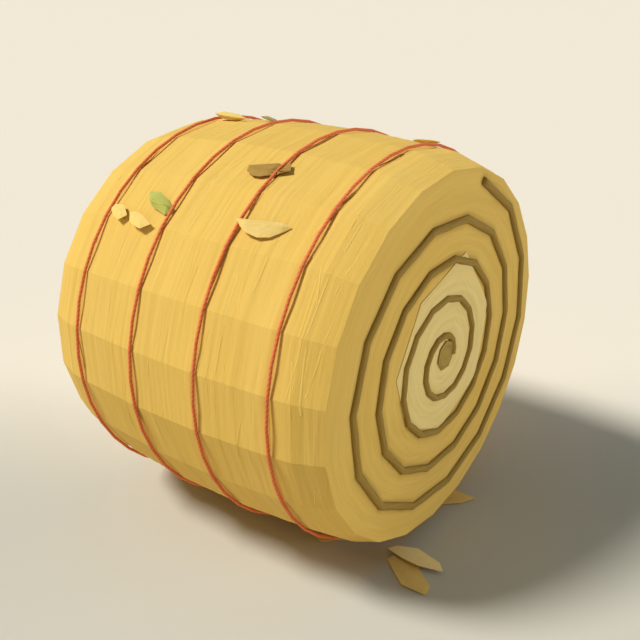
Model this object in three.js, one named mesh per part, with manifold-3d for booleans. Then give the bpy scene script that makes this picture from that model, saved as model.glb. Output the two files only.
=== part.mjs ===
// A small round bale: straw rolled into a barrel, lying on its side and tied with four loops of twine.
// Millimetres and degrees. The roll lies along X, +Z is up, and the origin is the middle of the flat
// underneath. Angles around the roll run from the top (+Z) towards +Y.
import * as THREE from 'three';
import { mergeVertices } from 'three/addons/utils/BufferGeometryUtils.js';
import Module from 'manifold-3d';

// The barrel: corner radii at its rings, from the middle outwards, and the same on both sides.
const ROLL_SIDES = 22;
const ROLL_SQUASH = 0.948;
const ROLL_RINGS = [
  { x: 51, radius: 273.6 },
  { x: 152.8, radius: 266.5 },
  { x: 179, radius: 263.2 },
  { x: 215, radius: 249.8 },
];
const AXIS_HEIGHT = 255;
const END_BULGE = 3.4;
const GROUND_SIDE = 700;
const GROUND_DEPTH = 250;

// The clearance between pieces that touch, and the distance within which corners count as one.
const GAP = 0.3;
const SHARED_CORNER = 0.001;

// Twine: one loop at each of the two inner rings on either side of the middle.
const TWINE_DIAMETER = 4.8;
const TWINE_LOOPS = [
  { name: 'twine_1', x: -152.8, radius: 268.8 },
  { name: 'twine_2', x: -51, radius: 275 },
  { name: 'twine_3', x: 51, radius: 275 },
  { name: 'twine_4', x: 152.8, radius: 268.8 },
];
const TWINE_STEPS = 2 * ROLL_SIDES;
const TWINE_SIDES = 6;
const TWINE_FLOOR_CLEARANCE = 0.1;

// The rolled layer's edge, which winds inwards over each end; radii are shares of the end's corner radius.
const COIL_DIAMETER = 9.6;
const COIL_SIDES = 6;
const COIL_STEPS = 60;
const COIL_FIRST_TURN = 0.054;
const COIL_LAST_TURN = 4.26;
const COIL_OUTER_SHARE = 0.946;
const COIL_PITCH_SHARE = 0.204;

// The pale middle of the roll at each end, and the darker heart where the rolling began.
const CORE_CORNERS = [
  { angle: 17, radius: 141 },
  { angle: 70, radius: 118 },
  { angle: 125, radius: 112 },
  { angle: 180, radius: 107 },
  { angle: 231, radius: 107 },
  { angle: 277, radius: 114 },
  { angle: 327, radius: 118 },
];
const CORE_DEPTH = 12;
const HEART_RADIUS = 21;
const HEART_SIDES = 7;
const HEART_THICKNESS = 3;
const HEART_RISE = 4.4;

// A flake's half width between its two ends, as shares of its length from the middle and of its widest.
const FLAKE_SIDES = 6;
const FLAKE_SHOULDER = { along: -1 / 4, width: 0.9 };
const FLAKE_WIDEST = { along: 1 / 12, width: 1 };

// Loose flakes on the roll: length, width and thickness, how blunt the two ends are as a share of the
// width, how far along and around the roll the middle lies, the heading on that flat, and any tilt.
const FLAKES = [
  {
    name: 'flake_pale_short', colour: 0xffe88e, size: [35, 21, 12], blunt: [0.5, 0.45],
    x: -130, angle: 312.6, heading: -12, tilt: 0,
  },
  {
    name: 'flake_pale_long', colour: 0xffe88e, size: [46, 21, 12], blunt: [0.4, 0.1],
    x: -89, angle: 311.3, heading: -17, tilt: 0,
  },
  {
    name: 'flake_green_leaf', colour: 0xb9c45e, size: [54, 23, 9], blunt: [0.4, 0.08],
    x: -70, angle: 317.8, heading: -18, tilt: 8,
  },
  {
    name: 'flake_brown', colour: 0xa8853f, size: [51, 24, 8], blunt: [0.6, 0.6],
    x: 40, angle: 334.5, heading: 15, tilt: 0,
  },
  {
    name: 'flake_cream', colour: 0xfbda88, size: [66, 25, 11], blunt: [0.08, 0.1],
    x: 82, angle: 317.6, heading: 13, tilt: 7,
  },
  {
    name: 'flake_pale_top', colour: 0xffdf86, size: [54, 22, 11], blunt: [0.45, 0.2],
    x: -127, angle: 0.8, heading: 4, tilt: 8,
  },
  {
    name: 'flake_olive', colour: 0xa89a58, size: [38, 20, 10], blunt: [0.3, 0.1],
    x: -92, angle: 8, heading: -12, tilt: 0,
  },
  {
    name: 'flake_yellow', colour: 0xf0cc66, size: [42, 15, 8], blunt: [0.1, 0.2],
    x: 128, angle: 18.5, heading: -3, tilt: -7,
  },
];

// Fallen flakes: where the middle lies on the ground, its heading there and its lean to one side.
const FALLEN_FLAKES = [
  {
    name: 'fallen_flake_upper', colour: 0xd8b868, size: [76, 43, 4], blunt: [0.4, 0.35],
    x: 235, y: -73, heading: -3, lean: -11,
  },
  {
    name: 'fallen_flake_lower', colour: 0xc99f46, size: [77, 33, 4], blunt: [0.4, 0.45],
    x: 241, y: -108, heading: -22, lean: 0,
  },
  {
    name: 'fallen_flake_back', colour: 0xc99f46, size: [80, 34, 4], blunt: [0.35, 0.06],
    x: 203, y: 69, heading: 38, lean: 0,
  },
  {
    name: 'fallen_flake_front', colour: 0xd8b060, size: [66, 24, 4], blunt: [0.3, 0.2],
    x: 127, y: -97, heading: 42, lean: 0,
  },
];

const STRAW_COLOUR = 0xe9bf5f;
const COIL_COLOUR = 0x8f732f;
const CORE_COLOUR = 0xd0b472;
const HEART_COLOUR = 0x977d40;
const TWINE_COLOUR = 0xd7693e;
const DRY_STRAW = { roughness: 0.9, metalness: 0 };

const END_RING = ROLL_RINGS[ROLL_RINGS.length - 1];
const CORNER_STEP = 360 / ROLL_SIDES;
const ENDS = [
  { word: 'right', side: 1 },
  { word: 'left', side: -1 },
];

const wasm = await Module();
wasm.setup();

const bale = new THREE.Group();

function addMesh(name, geometry, colour, parent = bale) {
  const material = new THREE.MeshStandardMaterial({ color: colour, ...DRY_STRAW });
  const mesh = new THREE.Mesh(geometry, material);
  mesh.name = name;
  parent.add(mesh);
  return mesh;
}

// A closed geometry as a solid that can be cut: shared corners merged, collapsed triangles dropped.
function toSolid(geometry) {
  const bare = geometry.clone();
  bare.deleteAttribute('normal');
  bare.deleteAttribute('uv');
  const merged = mergeVertices(bare, SHARED_CORNER);
  const corners = Array.from(merged.index.array);
  const kept = [];
  for (let i = 0; i < corners.length; i += 3) {
    const triangle = corners.slice(i, i + 3);
    if (new Set(triangle).size === 3) {
      kept.push(...triangle);
    }
  }
  const vertProperties = Float32Array.from(merged.attributes.position.array);
  const triVerts = Uint32Array.from(kept);
  return new wasm.Manifold(new wasm.Mesh({ numProp: 3, vertProperties, triVerts }));
}

function toGeometry(solid) {
  const mesh = solid.getMesh();
  const geometry = new THREE.BufferGeometry();
  geometry.setAttribute('position', new THREE.BufferAttribute(mesh.vertProperties, 3));
  geometry.setIndex(new THREE.BufferAttribute(mesh.triVerts, 1));
  geometry.computeVertexNormals();
  return geometry;
}

// A point at a radius and angle around the roll, in the squashed section.
function aroundRoll(x, radius, angle) {
  const turn = THREE.MathUtils.degToRad(angle);
  const height = AXIS_HEIGHT + ROLL_SQUASH * radius * Math.cos(turn);
  return new THREE.Vector3(x, radius * Math.sin(turn), height);
}

// How far out the slightly bulging end lies at a radius.
function endFaceX(radius) {
  return END_RING.x + END_BULGE * (1 - radius / END_RING.radius);
}

function rollGeometry() {
  const right = ROLL_RINGS.map(({ x, radius }) => new THREE.Vector2(radius, x));
  const left = ROLL_RINGS.map(({ x, radius }) => new THREE.Vector2(radius, -x)).reverse();
  const leftApex = new THREE.Vector2(0, -endFaceX(0));
  const rightApex = new THREE.Vector2(0, endFaceX(0));
  const roll = new THREE.LatheGeometry([leftApex, ...left, ...right, rightApex], ROLL_SIDES);
  roll.rotateZ(-Math.PI / 2);
  roll.scale(1, 1, ROLL_SQUASH);
  roll.translate(0, 0, AXIS_HEIGHT);
  return roll;
}

// Everything below the ground, which presses the roll flat underneath.
function groundGeometry() {
  const ground = new THREE.BoxGeometry(GROUND_SIDE, GROUND_SIDE, GROUND_DEPTH);
  ground.translate(0, 0, -GROUND_DEPTH / 2);
  return ground;
}

// A loop of twine around the roll, squashed with it and lifted clear of the ground underneath.
function twineGeometry({ x, radius }, clearance) {
  const loop = new THREE.TorusGeometry(radius, TWINE_DIAMETER / 2 + clearance, TWINE_SIDES, TWINE_STEPS);
  loop.rotateY(Math.PI / 2);
  const lowest = TWINE_DIAMETER / 2 + TWINE_FLOOR_CLEARANCE;
  const position = loop.attributes.position;
  for (let i = 0; i < position.count; i += 1) {
    const upness = Math.cos(Math.atan2(position.getY(i), position.getZ(i)));
    const middle = AXIS_HEIGHT + ROLL_SQUASH * radius * upness;
    const offset = position.getZ(i) - radius * upness;
    position.setZ(i, Math.max(middle, lowest) + offset);
  }
  loop.translate(x, 0, 0);
  return loop;
}

// The spiral that the rolled layer's edge follows over one end, with even turning for each step.
class EndSpiral extends THREE.Curve {
  constructor(side) {
    super();
    this.side = side;
  }

  getPoint(t, target = new THREE.Vector3()) {
    const turn = THREE.MathUtils.lerp(COIL_FIRST_TURN, COIL_LAST_TURN, t);
    const radius = END_RING.radius * (COIL_OUTER_SHARE - COIL_PITCH_SHARE * turn);
    return target.copy(aroundRoll(this.side * endFaceX(radius), radius, 360 * turn));
  }

  getUtoTmapping(u) {
    return u;
  }
}

// A round ridge, half sunk in the end, along that spiral.
function coilGeometry(side, clearance) {
  const section = new THREE.Shape();
  section.absarc(0, 0, COIL_DIAMETER / 2 + clearance, 0, 2 * Math.PI);
  return new THREE.ExtrudeGeometry(section, {
    steps: COIL_STEPS,
    curveSegments: COIL_SIDES / 2,
    extrudePath: new EndSpiral(side),
  });
}

// The pale middle: an uneven prism set into the end, flush with the top of its bulge.
function coreGeometry(side, clearance) {
  const outline = CORE_CORNERS.map(({ angle, radius }) => {
    const corner = aroundRoll(0, radius + clearance, angle);
    return new THREE.Vector2(corner.y, corner.z);
  }).reverse();
  const depth = CORE_DEPTH + 2 * clearance;
  const core = new THREE.ExtrudeGeometry(new THREE.Shape(outline), { depth, bevelEnabled: false });
  const axes = new THREE.Matrix4().makeBasis(
    new THREE.Vector3(0, 1, 0),
    new THREE.Vector3(0, 0, 1),
    new THREE.Vector3(1, 0, 0),
  );
  core.applyMatrix4(axes);
  const front = endFaceX(0) + clearance;
  core.translate(side > 0 ? front - depth : -front, 0, 0);
  return core;
}

function heartGeometry(side) {
  const heart = new THREE.CylinderGeometry(HEART_RADIUS, HEART_RADIUS, HEART_THICKNESS, HEART_SIDES);
  heart.rotateZ(-Math.PI / 2);
  heart.translate(side * (endFaceX(0) + GAP + HEART_THICKNESS / 2), 0, AXIS_HEIGHT + HEART_RISE);
  return heart;
}

// A flake: a six-sided husk, widest near the middle and drawn in to its two ends, lying along X.
function flakeGeometry({ size: [length, width, thickness], blunt: [near, far] }) {
  const profile = [
    new THREE.Vector2(0, -length / 2),
    new THREE.Vector2((near * width) / 2, -length / 2),
    new THREE.Vector2((FLAKE_SHOULDER.width * width) / 2, FLAKE_SHOULDER.along * length),
    new THREE.Vector2((FLAKE_WIDEST.width * width) / 2, FLAKE_WIDEST.along * length),
    new THREE.Vector2((far * width) / 2, length / 2),
    new THREE.Vector2(0, length / 2),
  ];
  const flake = new THREE.LatheGeometry(profile, FLAKE_SIDES, Math.PI / 2);
  flake.rotateZ(-Math.PI / 2);
  flake.scale(1, 1, thickness / width);
  return flake;
}

// A flake leaned about its length and tilted along it, then set down a gap above the plane it lies on.
function settledFlake(flake, lean, tilt) {
  const geometry = flakeGeometry(flake);
  geometry.rotateX(THREE.MathUtils.degToRad(lean));
  geometry.rotateY(THREE.MathUtils.degToRad(tilt));
  geometry.computeBoundingBox();
  geometry.translate(0, 0, GAP - geometry.boundingBox.min.z);
  return geometry;
}

// The flat of the barrel that holds a place on it: the point there and the flat's own axes.
function flatAt(x, angle) {
  const leftRings = ROLL_RINGS.map((ring) => ({ x: -ring.x, radius: ring.radius })).reverse();
  const rings = [...leftRings, ...ROLL_RINGS];
  const next = rings.findIndex((ring) => ring.x > x);
  const [before, after] = [rings[next - 1], rings[next]];
  const corner = Math.floor(angle / CORNER_STEP) * CORNER_STEP;
  const share = (angle - corner) / CORNER_STEP;
  const acrossRing = ({ x: ringX, radius }) => {
    const first = aroundRoll(ringX, radius, corner);
    const second = aroundRoll(ringX, radius, corner + CORNER_STEP);
    const middle = first.clone().lerp(second, 1 / 2);
    return { first, second, middle, point: first.clone().lerp(second, share) };
  };
  const [start, end] = [acrossRing(before), acrossRing(after)];
  const along = end.middle.clone().sub(start.middle).normalize();
  const across = start.second.clone().sub(start.first).normalize();
  const outward = along.clone().cross(across);
  const point = start.point.clone().lerp(end.point, (x - before.x) / (after.x - before.x));
  return { point, axes: new THREE.Matrix4().makeBasis(along, across, outward) };
}

// The roll, pressed flat underneath, grooved under the twine and the coils, and pocketed for the middles.
const twineGrooves = TWINE_LOOPS.map((loop) => toSolid(twineGeometry(loop, GAP)));
let roll = toSolid(rollGeometry()).subtract(toSolid(groundGeometry()));
for (const groove of twineGrooves) {
  roll = roll.subtract(groove);
}
for (const { side } of ENDS) {
  roll = roll.subtract(toSolid(coreGeometry(side, GAP))).subtract(toSolid(coilGeometry(side, GAP)));
}
addMesh('straw_roll', toGeometry(roll), STRAW_COLOUR);

for (const { word, side } of ENDS) {
  const coilGroove = toSolid(coilGeometry(side, GAP));
  addMesh(`rolled_edge_${word}`, coilGeometry(side, 0), COIL_COLOUR);
  addMesh(`core_${word}`, toGeometry(toSolid(coreGeometry(side, 0)).subtract(coilGroove)), CORE_COLOUR);
  addMesh(`heart_${word}`, toGeometry(toSolid(heartGeometry(side)).subtract(coilGroove)), HEART_COLOUR);
}

for (const loop of TWINE_LOOPS) {
  addMesh(loop.name, twineGeometry(loop, 0), TWINE_COLOUR);
}

// Flakes on the roll: each lies on one flat of the barrel, notched where a loop of twine holds it down.
for (const flake of FLAKES) {
  const { point, axes } = flatAt(flake.x, flake.angle);
  const flat = new THREE.Group();
  flat.position.copy(point);
  flat.quaternion.setFromRotationMatrix(axes);
  const mesh = addMesh(flake.name, settledFlake(flake, 0, flake.tilt), flake.colour, flat);
  mesh.rotation.z = THREE.MathUtils.degToRad(flake.heading);
  bale.add(flat);
  flat.updateMatrixWorld(true);
  const toFlake = mesh.matrixWorld.clone().invert();
  let husk = toSolid(mesh.geometry);
  for (const loop of TWINE_LOOPS) {
    husk = husk.subtract(toSolid(twineGeometry(loop, GAP).applyMatrix4(toFlake)));
  }
  mesh.geometry = toGeometry(husk);
}

for (const flake of FALLEN_FLAKES) {
  const mesh = addMesh(flake.name, settledFlake(flake, flake.lean, 0), flake.colour);
  mesh.position.set(flake.x, flake.y, 0);
  mesh.rotation.z = THREE.MathUtils.degToRad(flake.heading);
}

export default bale;
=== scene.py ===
import math

import bpy
import numpy as np
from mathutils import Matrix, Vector


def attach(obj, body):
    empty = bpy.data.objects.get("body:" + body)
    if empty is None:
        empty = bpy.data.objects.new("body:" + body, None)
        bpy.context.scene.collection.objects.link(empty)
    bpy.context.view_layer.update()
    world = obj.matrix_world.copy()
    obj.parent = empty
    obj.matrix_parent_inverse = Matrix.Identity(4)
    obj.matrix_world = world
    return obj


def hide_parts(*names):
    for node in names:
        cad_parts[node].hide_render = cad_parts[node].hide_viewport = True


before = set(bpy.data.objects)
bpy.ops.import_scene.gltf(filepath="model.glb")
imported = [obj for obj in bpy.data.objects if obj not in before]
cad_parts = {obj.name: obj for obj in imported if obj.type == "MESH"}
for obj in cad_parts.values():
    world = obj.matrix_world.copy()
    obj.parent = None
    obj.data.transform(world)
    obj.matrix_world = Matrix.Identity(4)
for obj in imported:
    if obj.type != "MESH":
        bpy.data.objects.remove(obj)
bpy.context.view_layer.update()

# The straw roll: a layer of dry straw rolled up into a barrel on its side, pressed flat where it rests.
# Its stalks run round the roll, and its flats, sloping shoulders and bulging ends are those of the CAD roll.
# Lengths are millimetres, and angles run round the roll from its top towards +Y.
ROLL_SIDES = 22
ROLL_SQUASH = 0.948
AXIS_HEIGHT = 255.0
RING_PLACES = np.array([51.0, 152.8, 179.0, 215.0])
RING_RADII = np.array([273.6, 266.5, 263.2, 249.8])
END_RADIUS = RING_RADII[-1]
END_BULGE = 3.4
END_APEX = RING_PLACES[-1] + END_BULGE
ROLL_COLUMNS = 12 * ROLL_SIDES
ROW_STEP = 2.1
END_ROWS = 54
PIECE_GAP = 0.3

# The uneven outline of the pale core, which the ends of the roll are pocketed for.
CORE_ANGLES = np.radians([17.0, 70.0, 125.0, 180.0, 231.0, 277.0, 327.0])
CORE_RADII = np.array([141.0, 118.0, 112.0, 107.0, 107.0, 114.0, 118.0])
CORE_DEPTH = 12.0

# The path of the rolled layer's edge over an end, in straight steps, which the ends are grooved for and
# beside which the straw is darkened as a painted shade.
EDGE_TURNS = np.linspace(0.054, 4.26, 61)
EDGE_OUTER_SHARE = 0.946
EDGE_PITCH_SHARE = 0.204
EDGE_GROOVE_REACH = 7.0
EDGE_GROOVE_DEPTH = 1.4
EDGE_SHADE_REACH = 7.0

# The loops of twine, which bite a little into the corners of the flats.
TWINE_PLACES = np.array([-152.8, -51.0, 51.0, 152.8])
TWINE_BITE_REACH = 4.0
TWINE_BITE_DEPTH = 1.5

STALK_WIDTH = 4.6
STALK_LENGTH = 130.0
STALK_RELIEF = 0.4
STALK_WANDER = 9.0
STRAND_SHARE = 0.6
BEND_SIZE = (60.0, 260.0)
TUFT_SIZE = (34.0, 190.0)
TINT_SPREAD = 0.35


def flat_reach(angle, sides):
    """How far a regular polygon with a corner radius of 1 reaches at an angle: the cosine of half a corner
    step, over the cosine of the angle from the middle of the flat."""
    step = 2 * np.pi / sides
    return np.cos(step / 2) / np.cos(angle % step - step / 2)


def around_roll(x, radius, angle):
    """Points at a radius and angle in the squashed section of the roll, none of them below the ground."""
    z = np.maximum(AXIS_HEIGHT + ROLL_SQUASH * radius * np.cos(angle), 0)
    return np.stack(np.broadcast_arrays(x, radius * np.sin(angle), z), axis=-1)


def end_face(radius):
    """How far out the bulging end lies: a straight slope from its rim to its apex."""
    return RING_PLACES[-1] + END_BULGE * (1 - radius / END_RADIUS)


def core_reach(angle):
    """The radius of the core's outline at an angle: where the ray at that angle crosses the straight edge
    between the two corners on either side of it."""
    after = np.searchsorted(CORE_ANGLES, angle) % len(CORE_ANGLES)
    first_angle, first_radius = CORE_ANGLES[after - 1], CORE_RADII[after - 1]
    last_angle, last_radius = CORE_ANGLES[after], CORE_RADII[after]
    area = first_radius * last_radius * np.sin(last_angle - first_angle)
    return area / (first_radius * np.sin(angle - first_angle) + last_radius * np.sin(last_angle - angle))


PROFILE_X = np.concatenate([[END_APEX], RING_PLACES[::-1], -RING_PLACES, [-END_APEX]])
PROFILE_RADIUS = np.concatenate([[0], RING_RADII[::-1], RING_RADII, [0]])
PROFILE_STEPS = np.hypot(np.diff(PROFILE_X), np.diff(PROFILE_RADIUS))
PROFILE_LENGTHS = np.concatenate([[0], np.cumsum(PROFILE_STEPS)])
PROFILE_TURN_X = np.diff(PROFILE_RADIUS) / PROFILE_STEPS
PROFILE_TURN_RADIUS = -np.diff(PROFILE_X) / PROFILE_STEPS


def roll_surface(length, angle, height):
    """The roll's surface at a length along its profile, from the right end's middle to the left end's, and an
    angle round it, raised by a height along the profile's own normal."""
    x = np.interp(length, PROFILE_LENGTHS, PROFILE_X)
    radius = np.interp(length, PROFILE_LENGTHS, PROFILE_RADIUS)
    part = np.clip(np.searchsorted(PROFILE_LENGTHS, length, side="right") - 1, 0, len(PROFILE_STEPS) - 1)
    raised_x = x + height * PROFILE_TURN_X[part]
    raised_radius = radius * flat_reach(angle, ROLL_SIDES) + height * PROFILE_TURN_RADIUS[part]
    return around_roll(raised_x, raised_radius, angle)


def stalk_noise(across, around, width, length, seed):
    """Smooth random values from -1 to 1, drawn out along the stalks: rows one width apart, each with its own
    run of random values one length apart that closes round the roll, and smooth steps between them."""
    rng = np.random.default_rng(seed)
    runs = max(3, round(2 * np.pi * END_RADIUS / length))
    row = np.floor(across / width).astype(int)
    lowest = row.min()
    values = rng.uniform(-1, 1, (row.max() - lowest + 2, runs))
    phases = rng.uniform(0, runs, len(values))
    row_share = across / width - row

    def along_row(index):
        place = around / (2 * np.pi) * runs + phases[index]
        step = np.floor(place).astype(int)
        share = place - step
        share = share * share * (3 - 2 * share)
        return values[index, step % runs] * (1 - share) + values[index, (step + 1) % runs] * share

    row_share = row_share * row_share * (3 - 2 * row_share)
    return along_row(row - lowest) * (1 - row_share) + along_row(row - lowest + 1) * row_share


def edge_path(side):
    """The corners of the rolled layer's edge over one end: a spiral that draws in by one share each turn."""
    radius = END_RADIUS * (EDGE_OUTER_SHARE - EDGE_PITCH_SHARE * EDGE_TURNS)
    return around_roll(side * end_face(radius), radius, 2 * np.pi * EDGE_TURNS)


def distance_to_path(points, path):
    """The shortest distance, seen along the roll, from each point to a path of straight steps."""
    start = path[:-1, 1:]
    step = np.diff(path[:, 1:], axis=0)
    offset = points[..., None, 1:] - start
    share = np.clip((offset * step).sum(-1) / (step * step).sum(-1), 0, 1)
    return np.linalg.norm(offset - share[..., None] * step, axis=-1).min(-1)


def closed_round(values):
    """Values round a ring with the first one repeated at the end."""
    return np.concatenate([values, values[..., :1]], axis=-1)


def tube_mesh(name, points, lay_along, lay_across, attributes, looped=False, crease_rows=(), crease_sides=()):
    """A closed mesh from a grid of points, one tube for each first index, one ring of sides for each second:
    a quad between neighbours, and a flat cap on a tube's two ends unless its rings close into a loop. Its lay
    map holds the lengths along and across the stalks in metres, from grids with one more side than the
    points, and one more ring where they loop. Edges on the named rings and sides are sharp."""
    tubes, rings, sides = points.shape[:3]
    index = np.arange(tubes * rings * sides).reshape(tubes, rings, sides)
    here = index if looped else index[:, :-1]
    ahead = np.roll(index, -1, axis=1) if looped else index[:, 1:]
    quads = np.stack([here, np.roll(here, -1, axis=2), np.roll(ahead, -1, axis=2), ahead], axis=-1)
    caps = np.empty(0, int) if looped else np.concatenate([index[:, 0, ::-1], index[:, -1]]).ravel()
    loops = np.concatenate([quads.ravel(), caps])
    starts = np.concatenate([np.arange(0, quads.size, 4), np.arange(quads.size, loops.size, sides)])
    mesh = bpy.data.meshes.new(name)
    mesh.vertices.add(index.size)
    mesh.vertices.foreach_set("co", (points / 1000).astype(np.float32).ravel())
    mesh.loops.add(loops.size)
    mesh.loops.foreach_set("vertex_index", loops.astype(np.int32))
    mesh.polygons.add(starts.size)
    mesh.polygons.foreach_set("loop_start", starts.astype(np.int32))
    mesh.polygons.foreach_set("use_smooth", np.ones(starts.size, bool))
    mesh.update(calc_edges=True)

    lay = np.stack(np.broadcast_arrays(lay_along, lay_across), axis=-1) / 1000
    lay = np.broadcast_to(lay, (tubes, rings + looped, sides + 1, 2))
    quad_lay = np.stack([lay[:, :-1, :-1], lay[:, :-1, 1:], lay[:, 1:, 1:], lay[:, 1:, :-1]], axis=3)
    corner_lay = np.concatenate([quad_lay.reshape(-1, 2), np.zeros((caps.size, 2))])
    mesh.uv_layers.new(name="lay").data.foreach_set("uv", corner_lay.astype(np.float32).ravel())

    ends = np.empty(2 * len(mesh.edges), np.int32)
    mesh.edges.foreach_get("vertices", ends)
    ends = ends.reshape(-1, 2)
    end_rings = (ends // sides) % rings
    end_sides = ends % sides
    on_ring = (end_rings[:, 0] == end_rings[:, 1]) & np.isin(end_rings[:, 0], crease_rows)
    on_side = (end_sides[:, 0] == end_sides[:, 1]) & np.isin(end_sides[:, 0], crease_sides)
    mesh.edges.foreach_set("use_edge_sharp", on_ring | on_side)
    for attribute, values in attributes.items():
        layer = mesh.attributes.new(attribute, "FLOAT", "POINT")
        layer.data.foreach_set("value", np.broadcast_to(values, index.shape).astype(np.float32).ravel())
    return mesh


def place_piece(mesh, material, slot, *nodes):
    """Puts a finished mesh in the scene on the one body, in place of the nodes that it stands for."""
    mesh.materials.append(material)
    piece = bpy.data.objects.new(mesh.name, mesh)
    bpy.context.scene.collection.objects.link(piece)
    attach(piece, "root")
    if nodes:
        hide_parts(*nodes)
    return piece


class Shade:
    """One output of a finish's nodes. Sums, differences, products and powers of shades add Math nodes."""

    def __init__(self, tree, socket=None):
        self.tree = tree
        self.socket = socket

    def node(self, kind, settings, inputs, output=0):
        """Adds a node: its settings, then a value or a link for each input, and gives one output of it."""
        made = self.tree.nodes.new(kind)
        for name, setting in settings.items():
            setattr(made, name, setting)
        for key, value in inputs.items():
            if isinstance(value, Shade):
                self.tree.links.new(value.socket, made.inputs[key])
            else:
                made.inputs[key].default_value = value
        return Shade(self.tree, made.outputs[output]) if made.outputs else None

    def sum_node(self, operation, first, second):
        return self.node("ShaderNodeMath", {"operation": operation}, {0: first, 1: second})

    def __add__(self, other):
        return self.sum_node("ADD", self, other)

    def __radd__(self, other):
        return self.sum_node("ADD", other, self)

    def __sub__(self, other):
        return self.sum_node("SUBTRACT", self, other)

    def __rsub__(self, other):
        return self.sum_node("SUBTRACT", other, self)

    def __mul__(self, other):
        return self.sum_node("MULTIPLY", self, other)

    def __rmul__(self, other):
        return self.sum_node("MULTIPLY", other, self)

    def __pow__(self, other):
        return self.sum_node("POWER", self, other)

    def between(self, first, second):
        """A colour between two, by this shade."""
        return self.node("ShaderNodeMix", {"data_type": "RGBA"}, {0: self, 6: first, 7: second}, 2)


def new_finish(name):
    """An empty node material and the start of its nodes."""
    material = bpy.data.materials.new(name)
    material.use_nodes = True
    material.node_tree.nodes.clear()
    return material, Shade(material.node_tree)


def colour(code):
    """A colour as linear light, from its six hexadecimal digits."""
    display = np.array([int(code[i:i + 2], 16) for i in (0, 2, 4)]) / 255
    linear = np.where(display <= 0.04045, display / 12.92, ((display + 0.055) / 1.055) ** 2.4)
    return (*linear, 1.0)


FIBRE_SCALE = (14.0, 620.0, 1.0)
STEM_SCALE = (7.0, 210.0, 1.0)
CREASE_SHADE_STRENGTH = 0.45


def straw_finish(name, crease_shade_colour, shade_and_dark_stalks, gold, pale, contrast):
    """Dry straw: gold with paler stalks by the tint of the mesh, darker stalks here and there, painted shade
    in the hollows of its nap, a painted shade in brown beside the rolled edge, and fine fibres along the lay
    of the stalks that streak the colour and roughen it."""
    material, start = new_finish(name)
    lay = start.node("ShaderNodeUVMap", {"uv_map": "lay"}, {})
    tint = start.node("ShaderNodeAttribute", {"attribute_name": "tint"}, {}, "Fac")
    nap = start.node("ShaderNodeAttribute", {"attribute_name": "nap"}, {}, "Fac")
    crease_shade = start.node("ShaderNodeAttribute", {"attribute_name": "crease_shade"}, {}, "Fac")
    fibre_lay = start.node("ShaderNodeVectorMath", {"operation": "MULTIPLY"}, {0: lay, 1: FIBRE_SCALE})
    fibre_inputs = {"Vector": fibre_lay, "Scale": 1.0, "Detail": 3.0, "Roughness": 0.6}
    fibre = start.node("ShaderNodeTexNoise", {"noise_dimensions": "2D"}, fibre_inputs)
    stem_lay = start.node("ShaderNodeVectorMath", {"operation": "MULTIPLY"}, {0: lay, 1: STEM_SCALE})
    stem_inputs = {"Vector": stem_lay, "Scale": 1.0, "Detail": 2.0, "Roughness": 0.5, "Distortion": 0.4}
    stem = start.node("ShaderNodeTexNoise", {"noise_dimensions": "2D"}, stem_inputs)
    body = (contrast * tint).between(colour(gold), colour(pale))
    # Painted shade in the hollows of the nap; the stem noise on the next line darkens stalks at random.
    body = ((1 - nap) ** 2 * contrast).between(body, colour(shade_and_dark_stalks))
    body = ((1 - stem) ** 2 * contrast).between(body, colour(shade_and_dark_stalks))
    body = (fibre ** 3 * contrast).between(body, colour(pale))
    # Painted shade: beside the rolled edge the straw is darkened towards the brown shade colour.
    body = (CREASE_SHADE_STRENGTH * crease_shade).between(body, colour(crease_shade_colour))
    roughness = 0.78 + 0.2 * fibre
    bump_inputs = {"Strength": 0.5, "Distance": 0.0007, "Height": fibre + 0.8 * stem}
    grain = start.node("ShaderNodeBump", {}, bump_inputs)
    straw = {"Base Color": body, "Roughness": roughness, "Normal": grain, "Specular IOR Level": 0.2}
    surface = start.node("ShaderNodeBsdfPrincipled", {}, straw)
    start.node("ShaderNodeOutputMaterial", {}, {"Surface": surface})
    return material


roll_angles = 2 * np.pi * np.arange(ROLL_COLUMNS) / ROLL_COLUMNS
rim_length = PROFILE_STEPS[0]
pocket_reach = (core_reach(roll_angles) + PIECE_GAP) / flat_reach(roll_angles, ROLL_SIDES)
pocket_length = rim_length * pocket_reach / END_RADIUS
barrel_counts = np.ceil(PROFILE_STEPS[1:-1] / ROW_STEP).astype(int)
barrel_rings = np.concatenate([[0], np.cumsum(barrel_counts)])
barrel_lengths = np.interp(np.arange(barrel_rings[-1] + 1), barrel_rings, PROFILE_LENGTHS[1:-1])
end_shares = np.linspace(0, 1, END_ROWS, endpoint=False)[:, None]
right_lengths = pocket_length + end_shares * (rim_length - pocket_length)
left_lengths = PROFILE_LENGTHS[-1] - right_lengths[::-1]
barrel_grid = np.broadcast_to(barrel_lengths[:, None], (len(barrel_lengths), ROLL_COLUMNS))
roll_lengths = np.concatenate([right_lengths, barrel_grid, left_lengths])

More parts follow.
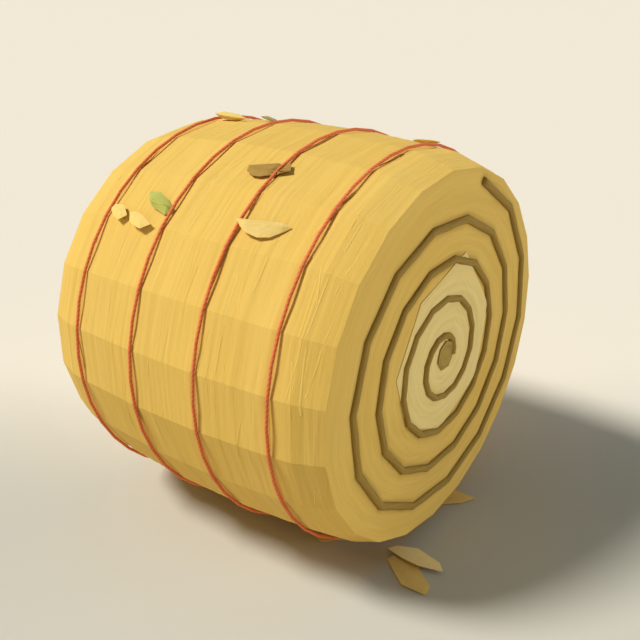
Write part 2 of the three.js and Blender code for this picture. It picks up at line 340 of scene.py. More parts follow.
roll_wander = STALK_WANDER * stalk_noise(roll_lengths, roll_angles, *BEND_SIZE, 1)
roll_stalks = stalk_noise(roll_lengths + roll_wander, roll_angles, STALK_WIDTH, STALK_LENGTH, 2)
strand_size = (STRAND_SHARE * STALK_WIDTH, STRAND_SHARE * STALK_LENGTH)
roll_strands = stalk_noise(roll_lengths - roll_wander, roll_angles, *strand_size, 3)
roll_tufts = stalk_noise(roll_lengths, roll_angles, *TUFT_SIZE, 4)
roll_relief = STALK_RELIEF * (0.6 * roll_stalks + 0.4 * roll_strands)
plain_roll = roll_surface(roll_lengths, roll_angles, 0)
for twine_place in TWINE_PLACES:
    twine_share = np.abs(plain_roll[..., 0] - twine_place) / TWINE_BITE_REACH
    roll_relief = roll_relief - TWINE_BITE_DEPTH * np.exp(-twine_share ** 2)
roll_crease_shade = np.zeros(roll_lengths.shape)
for end_side in (1, -1):
    near_end = end_side * plain_roll[..., 0] > RING_PLACES[-1] - 1
    edge_distance = distance_to_path(plain_roll[near_end], edge_path(end_side))
    roll_relief[near_end] -= EDGE_GROOVE_DEPTH * np.exp(-(edge_distance / EDGE_GROOVE_REACH) ** 2)
    roll_crease_shade[near_end] = np.exp(-(edge_distance / EDGE_SHADE_REACH) ** 2)
roll_rows = roll_surface(roll_lengths, roll_angles, roll_relief)
pocket_floor = END_APEX - CORE_DEPTH - PIECE_GAP
right_floor = roll_rows[:1] * [0, 1, 1] + [pocket_floor, 0, 0]
left_floor = roll_rows[-1:] * [0, 1, 1] - [pocket_floor, 0, 0]
roll_points = np.concatenate([right_floor, roll_rows, left_floor])


def with_floors(values):
    """Values on the roll's rows, with the first and last row repeated for the floors of its two pockets."""
    return np.concatenate([values[:1], values, values[-1:]])


# Painted shade: the nap darkens the hollows of the relief, the twine's bites and the groove beside the rolled
# edge, and a second mask darkens the straw beside the rolled edge further.
roll_attributes = {
    "tint": np.clip(0.5 + TINT_SPREAD * with_floors(roll_tufts + roll_strands), 0, 1),
    "nap": np.clip(0.6 + 0.5 * with_floors(roll_relief) / STALK_RELIEF, 0, 1),
    "crease_shade": with_floors(roll_crease_shade),
}
roll_last = len(roll_points) - 1
roll_folds = np.concatenate([[0, 1], 1 + END_ROWS + barrel_rings, [roll_last - 1, roll_last]])
roll_mesh = tube_mesh(
    "straw_roll_surface",
    roll_points[None],
    END_RADIUS * np.append(roll_angles, 2 * np.pi),
    closed_round(with_floors(roll_lengths)),
    roll_attributes,
    crease_rows=roll_folds,
    crease_sides=np.arange(0, ROLL_COLUMNS, ROLL_COLUMNS // ROLL_SIDES),
)
straw = straw_finish("dry_straw", "856225", "b7913f", "e7bc58", "f2cf78", 0.3)
place_piece(roll_mesh, straw, "straw", "straw_roll")

# Loose stalks: single lengths of the same straw, flattened by rolling, that lie on the roll along its turns.
# Each is a thin flattened tube, half sunk in the surface and held down by its neighbours and the twine.
STALK_COUNT = 300
STALK_STATIONS = 9
STALK_LENGTHS = (34.0, 120.0)
STALK_WIDTHS = (2.2, 3.6)
STALK_HEIGHT = 0.22
STALK_SINK = 0.2
STALK_SLANT = 0.1
STALK_BOW = 0.0005
STALK_HALF_TURN = np.radians(150)
STALK_RIM_GAP = 3.0
STALK_NAP = 0.85
STALK_SECTION = np.array([[-0.5, 0.0], [-0.3, 0.7], [0.0, 1.0], [0.3, 0.7], [0.5, 0.0]])

rng = np.random.default_rng(11)
stalk_from, stalk_to = rim_length + STALK_RIM_GAP, PROFILE_LENGTHS[-1] - rim_length - STALK_RIM_GAP
stalk_starts = rng.uniform(stalk_from, stalk_to, (STALK_COUNT, 1))
stalk_turns = rng.uniform(-STALK_HALF_TURN, STALK_HALF_TURN, (STALK_COUNT, 1))
stalk_runs = rng.uniform(*STALK_LENGTHS, (STALK_COUNT, 1)) * np.linspace(-0.5, 0.5, STALK_STATIONS)
stalk_slants = STALK_SLANT * rng.standard_normal((STALK_COUNT, 1))
stalk_bows = STALK_BOW * rng.standard_normal((STALK_COUNT, 1))
stalk_widths = rng.uniform(*STALK_WIDTHS, (STALK_COUNT, 1, 1))
stalk_tints = rng.uniform(0, 1, (STALK_COUNT, 1, 1))


def lying_stalks(starts, turns, runs, slants, bows, widths):
    """Flattened stalks on the roll: each runs round the roll from its start along the profile and its angle,
    with a slant and a bow that grows by the square of the run, and carries a low rounded section along it."""
    lengths = starts + slants * runs + bows * runs ** 2
    angles = turns + runs / np.interp(lengths, PROFILE_LENGTHS, PROFILE_RADIUS)
    middle = roll_surface(lengths, angles, -STALK_SINK)
    ahead = np.gradient(middle, axis=1)
    up = roll_surface(lengths, angles, 1) - middle
    up = up / np.linalg.norm(up, axis=-1, keepdims=True)
    across = np.cross(ahead, up)
    across = across / np.linalg.norm(across, axis=-1, keepdims=True)
    sideways = (widths * STALK_SECTION[:, 0])[..., None] * across[:, :, None]
    upwards = (STALK_HEIGHT + STALK_SINK) * STALK_SECTION[:, 1:] * up[:, :, None]
    return middle[:, :, None] + sideways + upwards


stalk_mesh = tube_mesh(
    "loose_stalks",
    lying_stalks(stalk_starts, stalk_turns, stalk_runs, stalk_slants, stalk_bows, stalk_widths),
    (stalk_starts + stalk_runs)[..., None],
    stalk_widths * np.linspace(0, 2, len(STALK_SECTION) + 1),
    {"tint": stalk_tints, "nap": STALK_NAP},
    crease_rows=[0, STALK_STATIONS - 1],
    crease_sides=[0, len(STALK_SECTION) - 1],
)
place_piece(stalk_mesh, straw, "straw")

# The rolled layer's edge at each end: the brown outer edge of the straw layer, which shows as a low ridge
# that winds inwards to the middle in short straight steps. It is straw twisted together, half sunk in.
EDGE_HEIGHT = 4.0
EDGE_HALF_WIDTHS = (5.6, 4.3)
EDGE_SIDES = 14
EDGE_RINGS_PER_STEP = 10
EDGE_TWIST_STRANDS = 5
EDGE_TWIST_LENGTH = 46.0
EDGE_TWIST_RELIEF = 0.3
EDGE_TINT_SIZE = (0.9, 60.0)
EDGE_TINT_RUN = 9.0


def swept_tube(path, outward, radius, sides, looped):
    """A section carried along a path: at each place a ring of points at a radius, by the angle from the
    outward direction towards the side, square to the path."""
    if looped:
        ahead = np.roll(path, -1, axis=0) - np.roll(path, 1, axis=0)
    else:
        ahead = np.gradient(path, axis=0)
    ahead = ahead / np.linalg.norm(ahead, axis=-1, keepdims=True)
    up = outward - (outward * ahead).sum(-1, keepdims=True) * ahead
    up = up / np.linalg.norm(up, axis=-1, keepdims=True)
    beside = np.cross(ahead, up)
    angle = 2 * np.pi * np.arange(sides) / sides
    ring = np.cos(angle)[:, None] * up[:, None] + np.sin(angle)[:, None] * beside[:, None]
    return path[:, None] + radius[..., None] * ring


def along_corners(places, corner_places, corners):
    """Points at places along straight steps between corners, which lie at places of their own."""
    return np.stack([np.interp(places, corner_places, column) for column in corners.T], axis=-1)


edge_straw = straw_finish("edge_straw", "5c4520", "7e6028", "a68438", "b4934a", 0.5)
edge_steps = np.arange(len(EDGE_TURNS))
edge_places = np.linspace(0, edge_steps[-1], EDGE_RINGS_PER_STEP * edge_steps[-1] + 1)
edge_angles = 2 * np.pi * np.arange(EDGE_SIDES) / EDGE_SIDES
edge_half_widths = np.linspace(*EDGE_HALF_WIDTHS, len(edge_places))[:, None]
edge_section = 1 / np.hypot(np.cos(edge_angles) / EDGE_HEIGHT, np.sin(edge_angles) / edge_half_widths)
for end_word, end_side in (("right", 1), ("left", -1)):
    edge_line = along_corners(edge_places, edge_steps, edge_path(end_side))
    edge_lengths = np.concatenate([[0], np.cumsum(np.linalg.norm(np.diff(edge_line, axis=0), axis=-1))])
    twist = edge_lengths[:, None] / EDGE_TWIST_LENGTH * 2 * np.pi
    strand_wave = np.cos(EDGE_TWIST_STRANDS * edge_angles + twist)
    edge_radius = edge_section - EDGE_TWIST_RELIEF * (1 - strand_wave)
    edge_tint = stalk_noise(edge_angles + 0 * twist, twist / EDGE_TINT_RUN, *EDGE_TINT_SIZE, 21)
    # Painted shade: the nap darkens the grooves between the twisted strands.
    edge_mesh = tube_mesh(
        f"straw_edge_{end_word}",
        swept_tube(edge_line, np.array([end_side, 0.0, 0.0]), edge_radius, EDGE_SIDES, False)[None],
        edge_lengths[:, None],
        EDGE_HEIGHT * np.append(edge_angles, 2 * np.pi),
        {"tint": 0.5 + 0.5 * edge_tint, "nap": 0.5 + 0.5 * strand_wave},
    )
    place_piece(edge_mesh, edge_straw, "rolled_edge", f"rolled_edge_{end_word}")

# The core at each end: the first, paler turns of the roll, an uneven disc a little proud of the straw.
# Its stalks run round the middle, and the rolled layer's edge lies pressed into its face.
CORE_COLUMNS_PER_EDGE = 26
CORE_ROWS = 56
CORE_INNER_SHARE = 0.04
CORE_RELIEF = 0.5
CORE_WANDER = 5.0
CORE_BEND_SIZE = (40.0, 400.0)
CORE_STALK_SIZE = (4.0, 260.0)
CORE_STRAND_SIZE = (2.4, 150.0)
CORE_CREASE_SHADE = 0.2

core_straw = straw_finish("core_straw", "84642c", "cdac5f", "f6d784", "fae6ac", 0.35)
core_columns = CORE_COLUMNS_PER_EDGE * len(CORE_ANGLES)
core_corner_places = np.arange(len(CORE_ANGLES) + 1) * CORE_COLUMNS_PER_EDGE
core_places = np.arange(core_columns)
core_y = np.interp(core_places, core_corner_places, closed_round(CORE_RADII * np.sin(CORE_ANGLES)))
core_z = np.interp(core_places, core_corner_places, closed_round(CORE_RADII * np.cos(CORE_ANGLES)))
core_shares = np.linspace(1, CORE_INNER_SHARE, CORE_ROWS)[:, None]
core_length = 2 * np.pi * np.mean(CORE_RADII)
for end_word, end_side in (("right", 1), ("left", -1)):
    rim_y, rim_z = core_y[::-end_side], core_z[::-end_side]
    core_turns = np.arctan2(rim_y, rim_z)
    core_distance = core_shares * np.hypot(rim_y, rim_z)
    core_wander = CORE_WANDER * stalk_noise(core_distance, core_turns, *CORE_BEND_SIZE, 31)
    core_stalks = stalk_noise(core_distance + core_wander, core_turns, *CORE_STALK_SIZE, 32)
    core_strands = stalk_noise(core_distance, core_turns, *CORE_STRAND_SIZE, 33)
    core_relief = CORE_RELIEF * (0.6 * core_stalks + 0.4 * core_strands - 1)
    core_face = np.stack([0 * core_distance, core_shares * rim_y, core_shares * rim_z * ROLL_SQUASH], axis=-1)
    core_face = core_face + [end_side * END_APEX, 0, AXIS_HEIGHT]
    edge_distance = distance_to_path(core_face, edge_path(end_side))
    core_groove = EDGE_GROOVE_DEPTH * np.exp(-(edge_distance / EDGE_GROOVE_REACH) ** 2)
    # Painted shade: the core is darkened a little beside the rolled edge, and its nap darkens the hollows
    # between its stalks.
    core_crease_shade = CORE_CREASE_SHADE * np.exp(-(edge_distance / EDGE_SHADE_REACH) ** 2)
    core_face[..., 0] += end_side * (core_relief - core_groove)
    core_back = core_face[:1] - [end_side * CORE_DEPTH, 0, 0]
    core_mesh = tube_mesh(
        f"straw_core_{end_word}",
        np.concatenate([core_back, core_face])[None],
        core_length * np.arange(core_columns + 1) / core_columns,
        np.concatenate([[[0]], CORE_DEPTH + np.mean(CORE_RADII) * (1 - core_shares)]),
        {
            "tint": 0.5 + 0.5 * np.concatenate([core_strands[:1], core_strands]),
            "nap": 1 + 0.5 * np.concatenate([core_relief[:1], core_relief]) / CORE_RELIEF,
            "crease_shade": np.concatenate([core_crease_shade[:1], core_crease_shade]),
        },
        crease_rows=[0, 1],
    )
    place_piece(core_mesh, core_straw, "core_straw", f"core_{end_word}")

# The heart at each end: the dark knot of stalks that the rolling began from, a small seven-sided plug that
# stands just proud of the core, with the inner end of the rolled layer's edge wound round it.
HEART_RADIUS = 20.0
HEART_SIDES = 7
HEART_COLUMNS = 10 * HEART_SIDES
HEART_ROWS = 12
HEART_THICKNESS = 1.6
HEART_RISE = 3.4
HEART_SIDEWAYS = 1.2
HEART_INNER_SHARE = 0.08
HEART_RELIEF = 0.5
HEART_STALK_SIZE = (2.6, 500.0)
HEART_EDGE_DROP = 0.8

heart_straw = straw_finish("heart_straw", "5c4520", "82672b", "b39245", "c1a356", 0.5)
heart_angles = 2 * np.pi * np.arange(HEART_COLUMNS) / HEART_COLUMNS
heart_shares = np.linspace(1, HEART_INNER_SHARE, HEART_ROWS)[:, None]
heart_reach = HEART_RADIUS * heart_shares * flat_reach(heart_angles, HEART_SIDES)
heart_stalks = stalk_noise(heart_reach, heart_angles, *HEART_STALK_SIZE, 41)
heart_depth = HEART_EDGE_DROP * heart_shares ** 2 + HEART_RELIEF * (1 - heart_stalks) / 2
for end_word, end_side in (("right", 1), ("left", -1)):
    heart_x = end_side * (END_APEX + PIECE_GAP + HEART_THICKNESS - heart_depth)
    heart_y = HEART_SIDEWAYS - end_side * heart_reach * np.sin(heart_angles)
    heart_z = AXIS_HEIGHT + HEART_RISE + heart_reach * np.cos(heart_angles)
    heart_face = np.stack([heart_x, heart_y, heart_z], axis=-1)
    heart_back = heart_face[:1] * [0, 1, 1] + [end_side * (END_APEX + PIECE_GAP), 0, 0]
    # Painted shade: the nap darkens the hollows between the heart's stalks.
    heart_mesh = tube_mesh(
        f"straw_heart_{end_word}",
        np.concatenate([heart_back, heart_face])[None],
        HEART_RADIUS * np.append(heart_angles, 2 * np.pi),
        np.concatenate([[[0]], HEART_THICKNESS + HEART_RADIUS * (1 - heart_shares)]),
        {
            "tint": 0.5 + 0.5 * np.concatenate([heart_stalks[:1], heart_stalks]),
            "nap": 0.5 + 0.5 * np.concatenate([heart_stalks[:1], heart_stalks]),
        },
        crease_rows=[0],
        crease_sides=np.arange(0, HEART_COLUMNS, HEART_COLUMNS // HEART_SIDES),
    )
    place_piece(heart_mesh, heart_straw, "heart_straw", f"heart_{end_word}")

# Twine: four loops of red two-ply baling twine pulled tight round the roll, each at a ring of its flats.
# A loop runs straight between its bends, two to each flat, and is held in place all round.
TWINE_RADIUS = 2.05
TWINE_LOOP_RADII = np.array([268.8, 275.0, 275.0, 268.8])
TWINE_BENDS = 2 * ROLL_SIDES
TWINE_RINGS_PER_BEND = 22
TWINE_SIDES = 10
TWINE_TURNS = 132
TWINE_WAIST = 0.85
TWINE_FLOOR_CLEARANCE = 0.1
TWINE_FIBRE_SCALE = (300.0, 2600.0, 1.0)
TWINE_FIBRE_SLANT = (0.0, 0.0, 0.6)
TWINE_FADE_SCALE = 22.0


def twine_finish(name, groove_shade, red, worn):
    """Two-ply twine: red with worn paler patches, a painted shade in the grooves between its plies by the
    ply of the mesh, and fine slanting fibres."""
    material, start = new_finish(name)
    lay = start.node("ShaderNodeUVMap", {"uv_map": "lay"}, {})
    ply = start.node("ShaderNodeAttribute", {"attribute_name": "ply"}, {}, "Fac")
    slanted = {"Vector": lay, "Rotation": TWINE_FIBRE_SLANT, "Scale": TWINE_FIBRE_SCALE}
    turned = start.node("ShaderNodeMapping", {}, slanted)
    fibre_inputs = {"Vector": turned, "Scale": 1.0, "Detail": 2.0, "Roughness": 0.6}
    fibre = start.node("ShaderNodeTexNoise", {"noise_dimensions": "2D"}, fibre_inputs)
    place = start.node("ShaderNodeTexCoord", {}, {}, "Object")
    fade_inputs = {"Vector": place, "Scale": TWINE_FADE_SCALE, "Detail": 2.0, "Roughness": 0.5}
    fade = start.node("ShaderNodeTexNoise", {}, fade_inputs)
    body = (0.6 * fade + 0.3 * fibre).between(colour(red), colour(worn))
    # Painted shade in the grooves between the plies.
    body = (0.6 * (1 - ply)).between(body, colour(groove_shade))
    bump_inputs = {"Strength": 0.5, "Distance": 0.0004, "Height": fibre}
    grain = start.node("ShaderNodeBump", {}, bump_inputs)
    twine = {"Base Color": body, "Roughness": 0.65 + 0.25 * fibre, "Normal": grain, "Specular IOR Level": 0.3}
    surface = start.node("ShaderNodeBsdfPrincipled", {}, twine)
    start.node("ShaderNodeOutputMaterial", {}, {"Surface": surface})
    return material


red_twine = twine_finish("red_twine", "b64a28", "f06e3b", "f7955e")
twine_bend_numbers = np.arange(TWINE_BENDS + 1)
twine_bend_angles = 2 * np.pi * twine_bend_numbers / TWINE_BENDS
twine_rings = TWINE_BENDS * TWINE_RINGS_PER_BEND
twine_places = np.arange(twine_rings) / TWINE_RINGS_PER_BEND
twine_shares = np.arange(twine_rings + 1)[:, None] / twine_rings
twine_section = 2 * np.pi * np.arange(TWINE_SIDES) / TWINE_SIDES
twine_ply = np.abs(np.cos(twine_section - 2 * np.pi * TWINE_TURNS * twine_shares[:-1]))
twine_radius = TWINE_RADIUS * (TWINE_WAIST + (1 - TWINE_WAIST) * twine_ply)
for number, (twine_place, loop_radius) in enumerate(zip(TWINE_PLACES, TWINE_LOOP_RADII), 1):
    bends = around_roll(twine_place, loop_radius, twine_bend_angles)
    bends[:, 2] = np.maximum(bends[:, 2], TWINE_RADIUS + TWINE_FLOOR_CLEARANCE)
    twine_line = along_corners(twine_places, twine_bend_numbers, bends)
    twine_outward = twine_line - [twine_place, 0, AXIS_HEIGHT]
    twine_mesh = tube_mesh(
        f"red_twine_{number}",
        swept_tube(twine_line, twine_outward, twine_radius, TWINE_SIDES, True)[None],
        2 * np.pi * loop_radius * twine_shares,
        TWINE_RADIUS * np.append(twine_section, 2 * np.pi),
        {"ply": twine_ply},
        looped=True,
    )
    place_piece(twine_mesh, red_twine, "twine", f"twine_{number}")

# Flakes on the roll: bits of husk and leaf caught on its flats, each a stiff faceted chip with its rim off
# the straw and a fold along its top. A chip that a loop of twine crosses is pinched down under it.
FLAKE_COLUMNS_PER_EDGE = 6
FLAKE_ROWS = 9
FLAKE_FOLD_REACH = 0.97
FLAKE_RIB_SPACING = 2.6
FLAKE_RIB_RELIEF = 0.05
PINCH_HEIGHT = 1.2
PINCH_SLOPE = 1.4
# Each flake's first colour is for its blotches and for the painted shade on its sides below the rim; then its
# body and its paler crown.
PALE_HUSK = ("b68d42", "eec966", "fbe191")
FLAKES = {
    "flake_pale_short": {
        "outline": [(-16, 1), (-5, -8), (8, -13), (18, -4), (2, 9), (-13, 8)],
        "fold": [(-7, 1), (8, -5)], "rim": 6.5, "rise": 2.0, "foot": 0.6, "tilt": 0,
        "place": (-130, 312.6), "slot": "pale_flake", "colours": PALE_HUSK,
    },
    "flake_pale_long": {
        "outline": [(-22, 7), (-14, -4), (-7, -8), (11, -12), (24, -3), (2, 6), (-12, 10)],
        "fold": [(-12, 2), (10, -5)], "rim": 6.0, "rise": 2.5, "foot": 0.6, "tilt": 0,
        "place": (-89, 311.3), "slot": "pale_flake", "colours": PALE_HUSK,
    },
    "flake_green_leaf": {
        "outline": [(-29, 10), (-24, 0), (-14, -8), (11, -15), (22, -6), (12, 0), (1, 7), (-15, 13)],
        "fold": [(-14, -4), (18, -6)], "rim": 1.2, "rise": 6.0, "foot": 0.5, "tilt": 8, "pinch": 19,
        "place": (-70, 317.8), "slot": "green_leaf", "colours": ("7e8330", "b7b74d", "d4d07a"),
    },
    "flake_brown": {
        "outline": [(-32, 1), (-27, -10), (-14, -16), (-3, -15), (28, 4), (20, 17), (2, 13)],
        "fold": [(-24, -7), (16, -2)], "rim": 4.0, "rise": 2.5, "foot": 0.7, "tilt": 0, "pinch": 11,
        "place": (40, 334.5), "slot": "brown_flake", "colours": ("745321", "a47e38", "bf9a51"),
    },
    "flake_cream": {
        "outline": [(-34, -1), (-22, -10), (-12, -14), (2, -15), (16, -10), (27, 1), (34, 9), (22, 12)],
        "fold": [(-18, -2), (24, 6)], "rim": 2.5, "rise": 3.5, "foot": 0.6, "tilt": 7,
        "place": (82, 317.6), "slot": "pale_flake", "colours": ("b68d42", "ebc76b", "f9dc92"),
    },
    "flake_pale_top": {
        "outline": [(-27, -4), (-14, -11), (10, -10), (27, -1), (12, 8), (-12, 11), (-26, 5)],
        "fold": [(-14, 0), (12, 0)], "rim": 5.0, "rise": 4.0, "foot": 0.6, "tilt": 5,
        "place": (-127, 0.8), "slot": "pale_flake", "colours": PALE_HUSK,
    },
    "flake_olive": {
        "outline": [(-6, -8), (8, -9), (19, -2), (10, 7), (-6, 8)],
        "fold": [(-2, 0), (10, 0)], "rim": 1.6, "rise": 1.0, "foot": 0.7, "tilt": 14,
        "place": (-92, 8), "slot": "olive_flake", "colours": ("746230", "aa9351", "c3ad70"),
    },
    "flake_yellow": {
        "outline": [(-21, 0), (-8, -7), (8, -7), (21, -1), (8, 6), (-8, 7)],
        "fold": [(-10, 0), (10, 0)], "rim": 3.0, "rise": 2.0, "foot": 0.6, "tilt": -7,
        "place": (128, 18.5), "slot": "pale_flake", "colours": ("b48938", "eec662", "fbdc91"),
    },
}


def turned(points, axis, degrees):
    """Points turned about one axis, counted 0 to 2, by an angle from the next axis to the one after."""
    angle = math.radians(degrees)
    first, second = (axis + 1) % 3, (axis + 2) % 3
    result = points.copy()
    result[..., first] = math.cos(angle) * points[..., first] - math.sin(angle) * points[..., second]
    result[..., second] = math.sin(angle) * points[..., first] + math.cos(angle) * points[..., second]
    return result


def flake_points(outline, fold, rim, rise, foot):
    """A chip over a plane: its outline, straight between the corners, shrunk to a foot on the plane, then at
    full size at the rim's height, then drawn in row by row to the nearest place on the fold, higher by the
    rise. Fine ribs run along it."""
    corners = np.array(outline, float)
    fold_start, fold_end = np.array(fold, float)
    fold_step = fold_end - fold_start
    fold_share = np.clip((corners - fold_start) @ fold_step / (fold_step @ fold_step), 0, 1)
    fold_corners = fold_start + fold_share[:, None] * fold_step
    corner_places = np.arange(len(corners) + 1) * FLAKE_COLUMNS_PER_EDGE
    places = np.arange(corner_places[-1])
    edge = along_corners(places, corner_places, closed_round(corners.T).T)
    ridge = along_corners(places, corner_places, closed_round(fold_corners.T).T)
    share = np.linspace(0, FLAKE_FOLD_REACH, FLAKE_ROWS)[:, None, None]
    top = edge + share * (ridge - edge)
    rib = np.cos(2 * np.pi * top[..., 1:] / FLAKE_RIB_SPACING)
    height = rim + rise * share + FLAKE_RIB_RELIEF * (rib - 1) * share
    middle = corners.mean(axis=0)
    bottom = np.concatenate([middle + foot * (edge - middle), 0 * edge[:, :1]], axis=-1)
    points = np.concatenate([bottom[None], np.concatenate([top, height], axis=-1)])
    return points, 0.5 + 0.5 * np.concatenate([rib[:1, :, 0], rib[..., 0]])


def flat_frame(x, degrees):
    """The flat of the roll that holds a place on it: the point there, and the flat's directions along, across
    and outward, from the corners of the ring on either side."""
    rings_x = np.concatenate([-RING_PLACES[::-1], RING_PLACES])
    rings_radius = np.concatenate([RING_RADII[::-1], RING_RADII])
    after = np.searchsorted(rings_x, x)
    step = 2 * np.pi / ROLL_SIDES
    first_angle = math.radians(degrees) // step * step
    share_around = (math.radians(degrees) - first_angle) / step
    share_along = (x - rings_x[after - 1]) / (rings_x[after] - rings_x[after - 1])
    ring = slice(after - 1, after + 1)
    first = around_roll(rings_x[ring], rings_radius[ring], first_angle)
    second = around_roll(rings_x[ring], rings_radius[ring], first_angle + step)
    place = first + share_around * (second - first)
    middle = (first + second) / 2
    along = (middle[1] - middle[0]) / np.linalg.norm(middle[1] - middle[0])
    across = (second[0] - first[0]) / np.linalg.norm(second[0] - first[0])
    return place[0] + share_along * (place[1] - place[0]), np.stack([along, across, np.cross(along, across)])


VEIN_SCALE = (26.0, 900.0, 1.0)
BLOTCH_SCALE = 90.0


def husk_finish(name, blotch_and_underside_shade, body, crown):
    """Dry husk or leaf: its body colour with paler raised ribs, blotches of a darker colour over it, a
    painted shade on its sides below the rim by the top of the mesh, and fine veins along it."""
    material, start = new_finish(name)
    lay = start.node("ShaderNodeUVMap", {"uv_map": "lay"}, {})
    rib = start.node("ShaderNodeAttribute", {"attribute_name": "rib"}, {}, "Fac")
    top = start.node("ShaderNodeAttribute", {"attribute_name": "top"}, {}, "Fac")
    vein_lay = start.node("ShaderNodeVectorMath", {"operation": "MULTIPLY"}, {0: lay, 1: VEIN_SCALE})
    vein_inputs = {"Vector": vein_lay, "Scale": 1.0, "Detail": 2.0, "Roughness": 0.6}
    vein = start.node("ShaderNodeTexNoise", {"noise_dimensions": "2D"}, vein_inputs)
    place = start.node("ShaderNodeTexCoord", {}, {}, "Object")
    blotch_inputs = {"Vector": place, "Scale": BLOTCH_SCALE, "Detail": 3.0, "Roughness": 0.6}
    blotch = start.node("ShaderNodeTexNoise", {}, blotch_inputs)
    tone = (0.25 * rib + 0.4 * vein).between(colour(body), colour(crown))
    tone = (0.35 * blotch ** 2).between(tone, colour(blotch_and_underside_shade))
    # Painted shade: the sides below the rim, where the top is 0, are darkened.
    tone = (0.6 * (1 - top)).between(tone, colour(blotch_and_underside_shade))
    grain = start.node("ShaderNodeBump", {}, {"Strength": 0.4, "Distance": 0.0003, "Height": vein + rib})
    husk = {"Base Color": tone, "Roughness": 0.65 + 0.25 * vein, "Normal": grain, "Specular IOR Level": 0.2}
    surface = start.node("ShaderNodeBsdfPrincipled", {}, husk)
    start.node("ShaderNodeOutputMaterial", {}, {"Surface": surface})
    return material


def place_flake(node, points, lay_points, rib, slot, colours):
    """Makes the mesh and finish of a flake whose points are in place, and puts it in the scene."""
    # The foot ring is marked 0 so that the finish darkens the sides as a painted shade.
    top = np.minimum(np.arange(len(points)), 1)[:, None]
    husk_mesh = tube_mesh(
        node.replace("flake", "husk"),
        points[None],
        closed_round(lay_points[..., 0]),
        closed_round(lay_points[..., 1]),
        {"rib": rib, "top": top},
        crease_rows=[0, 1],
        crease_sides=np.arange(0, points.shape[1], FLAKE_COLUMNS_PER_EDGE),
    )
    place_piece(husk_mesh, husk_finish(node.replace("flake", "husk_finish"), *colours), slot, node)


for flake_node, flake in FLAKES.items():
    chip, chip_rib = flake_points(*[flake[key] for key in ("outline", "fold", "rim", "rise", "foot")])
    husk = turned(chip, 1, flake["tilt"])
    husk[..., 2] += PIECE_GAP - husk[..., 2].min()
    if "pinch" in flake:
        beside_twine = np.maximum(np.abs(husk[..., 0] - flake["pinch"]) - TWINE_RADIUS, 0)
        husk[..., 2] = np.minimum(husk[..., 2], PINCH_HEIGHT + PINCH_SLOPE * beside_twine)
    flat_point, flat_axes = flat_frame(*flake["place"])
    place_flake(flake_node, flat_point + husk @ flat_axes, chip, chip_rib, flake["slot"], flake["colours"])

# Fallen flakes: four flat husks that have dropped off the roll and lie on the ground by its right end and
# under its rounded edge. The upper one leans, and its colours are paler than the others' as painted light.
FALLEN_RIM = 2.6
FALLEN_RISE = 1.0
FALLEN_FOOT = 0.85
GOLD_HUSK = ("b8924a", "f2ca6c", "f8de98")
FALLEN_FLAKES = {
    "fallen_flake_upper": {
        "outline": [(-37, -14), (-12, -20), (13, -21), (43, -11), (30, 5), (-9, 17), (-33, 2)],
        "fold": [(-16, -4), (22, -4)], "place": (235, -73), "lean": -11,
        "colours": ("cca65a", "fbdf90", "fdebb4"),
    },
    "fallen_flake_lower": {
        "outline": [(-35, 8), (5, -22), (39, -21), (36, -5), (0, 23), (-33, 21)],
        "fold": [(-20, 12), (24, -12)], "place": (241, -108), "lean": 0,
        "colours": GOLD_HUSK,
    },
    "fallen_flake_back": {
        "outline": [(-36, -20), (-20, -27), (-1, -21), (20, -2), (32, 22), (-5, 20), (-28, -4)],
        "fold": [(-20, -14), (10, 8)], "place": (203, 69), "lean": 0,
        "colours": GOLD_HUSK,
    },
    "fallen_flake_front": {
        "outline": [(-25, -20), (-12, -24), (16, 6), (24, 24), (8, 18), (-18, -8)],
        "fold": [(-10, -10), (10, 12)], "place": (127, -97), "lean": 0,
        "colours": GOLD_HUSK,
    },
}
for flake_node, flake in FALLEN_FLAKES.items():
    chip, chip_rib = flake_points(flake["outline"], flake["fold"], FALLEN_RIM, FALLEN_RISE, FALLEN_FOOT)
    husk = turned(chip, 0, flake["lean"])
    husk[..., 2] += PIECE_GAP - husk[..., 2].min()
    place_flake(flake_node, husk + [*flake["place"], 0], chip, chip_rib, "fallen_flake", flake["colours"])

# The stage: a pale floor, painted darker towards the camera and paler away from it as a painted falloff of
# light, a soft key light from the left, a weaker fill from the right and one from above, and the camera over
# the near side of the right end.
FLOOR_HALF = 40.0
FLOOR_NEAR = "cbc6b6"
FLOOR_FAR = "ede2ce"
FLOOR_AWAY = (-0.596, 0.803, 0.0)
FLOOR_FADE = (-0.1, 0.4)
KEY_DIRECTION = (-0.460, -0.419, 0.783)
KEY_STRENGTH = 3.24
KEY_SPREAD = 14.0
KEY_TINT = (1.0, 1.0, 1.0)
FILL_DIRECTION = (0.8, 0.6, 0.06)
FILL_STRENGTH = 1.4
FILL_SPREAD = 24.0
FILL_TINT = (0.92, 1.0, 1.14)
TOP_DIRECTION = (0.0, 0.0, 1.0)
TOP_STRENGTH = 0.52
TOP_SPREAD = 100.0
TOP_TINT = (0.82, 1.0, 1.12)
SKY_HORIZON = "f2e8d5"
SKY_ABOVE = (0.02, 0.02, 0.02, 1.0)
SKY_HORIZON_REACH = 0.16
CAMERA_PLACE = (0.6887, -0.8941, 0.7381)
CAMERA_AZIMUTH = 36.61
CAMERA_ELEVATION = 23.39
CAMERA_LENS = 50.0
CAMERA_SENSOR = 36.0


def add_sun(name, direction, strength, spread, tint):
    """A far light that shines from a direction, soft by the angle that it spreads over."""
    light = bpy.data.lights.new(name, "SUN")
    light.energy = strength
    light.color = tint
    light.angle = math.radians(spread)
    lamp = bpy.data.objects.new(name, light)
    lamp.rotation_mode = "QUATERNION"
    lamp.rotation_quaternion = Vector(direction).to_track_quat("Z", "Y")
    bpy.context.scene.collection.objects.link(lamp)


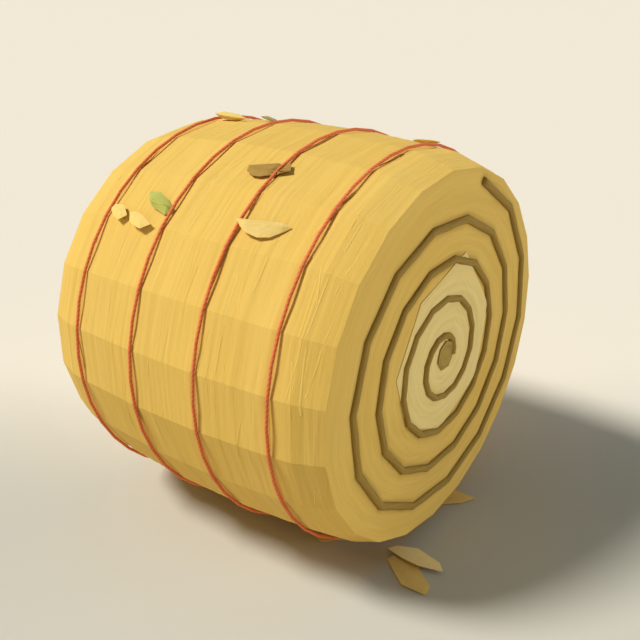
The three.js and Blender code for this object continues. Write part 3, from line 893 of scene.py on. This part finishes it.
floor_mesh = bpy.data.meshes.new("floor")
floor_corners = FLOOR_HALF * np.array([[-1, -1, 0], [1, -1, 0], [1, 1, 0], [-1, 1, 0]])
floor_mesh.from_pydata(floor_corners.tolist(), [], [[0, 1, 2, 3]])
floor_material, floor_start = new_finish("pale_floor")
# Painted light: the floor's colour goes from darker near the camera to paler away from it.
floor_place = floor_start.node("ShaderNodeTexCoord", {}, {}, "Object")
away_inputs = {0: floor_place, 1: FLOOR_AWAY}
floor_away = floor_start.node("ShaderNodeVectorMath", {"operation": "DOT_PRODUCT"}, away_inputs, "Value")
fade_inputs = {"Value": floor_away, "From Min": FLOOR_FADE[0], "From Max": FLOOR_FADE[1]}
floor_share = floor_start.node("ShaderNodeMapRange", {"interpolation_type": "SMOOTHSTEP"}, fade_inputs)
floor_painted_falloff = floor_share.between(colour(FLOOR_NEAR), colour(FLOOR_FAR))
floor_inputs = {"Base Color": floor_painted_falloff, "Roughness": 0.95, "Specular IOR Level": 0.0}
floor_surface = floor_start.node("ShaderNodeBsdfPrincipled", {}, floor_inputs)
floor_start.node("ShaderNodeOutputMaterial", {}, {"Surface": floor_surface})
floor_mesh.materials.append(floor_material)
floor = bpy.data.objects.new("floor", floor_mesh)
bpy.context.scene.collection.objects.link(floor)

add_sun("key_light", KEY_DIRECTION, KEY_STRENGTH, KEY_SPREAD, KEY_TINT)
add_sun("fill_light", FILL_DIRECTION, FILL_STRENGTH, FILL_SPREAD, FILL_TINT)
add_sun("top_light", TOP_DIRECTION, TOP_STRENGTH, TOP_SPREAD, TOP_TINT)
sky = bpy.data.worlds.new("studio")
sky.use_nodes = True
sky.node_tree.nodes.clear()
sky_start = Shade(sky.node_tree)
sky_direction = sky_start.node("ShaderNodeTexCoord", {}, {}, "Generated")
sky_height = sky_start.node("ShaderNodeSeparateXYZ", {}, {"Vector": sky_direction}, "Z")
sky_inputs = {"Value": sky_height, "From Min": SKY_HORIZON_REACH, "From Max": 2 * SKY_HORIZON_REACH}
sky_rise = sky_start.node("ShaderNodeMapRange", {"interpolation_type": "SMOOTHSTEP"}, sky_inputs)
sky_tone = sky_rise.between(colour(SKY_HORIZON), SKY_ABOVE)
sky_light = sky_start.node("ShaderNodeBackground", {}, {"Color": sky_tone, "Strength": 1.0})
sky_start.node("ShaderNodeOutputWorld", {}, {"Surface": sky_light})
bpy.context.scene.world = sky
bpy.context.scene.view_settings.view_transform = "Standard"

camera_data = bpy.data.cameras.new("camera")
camera_data.lens = CAMERA_LENS
camera_data.sensor_width = CAMERA_SENSOR
camera_data.clip_end = 4 * FLOOR_HALF
camera = bpy.data.objects.new("camera", camera_data)
camera.location = CAMERA_PLACE
azimuth, elevation = math.radians(CAMERA_AZIMUTH), math.radians(CAMERA_ELEVATION)
camera_back = Vector(
    (math.sin(azimuth) * math.cos(elevation), -math.cos(azimuth) * math.cos(elevation), math.sin(elevation))
)
camera.rotation_mode = "QUATERNION"
camera.rotation_quaternion = (-camera_back).to_track_quat("-Z", "Y")
bpy.context.scene.collection.objects.link(camera)
bpy.context.scene.camera = camera
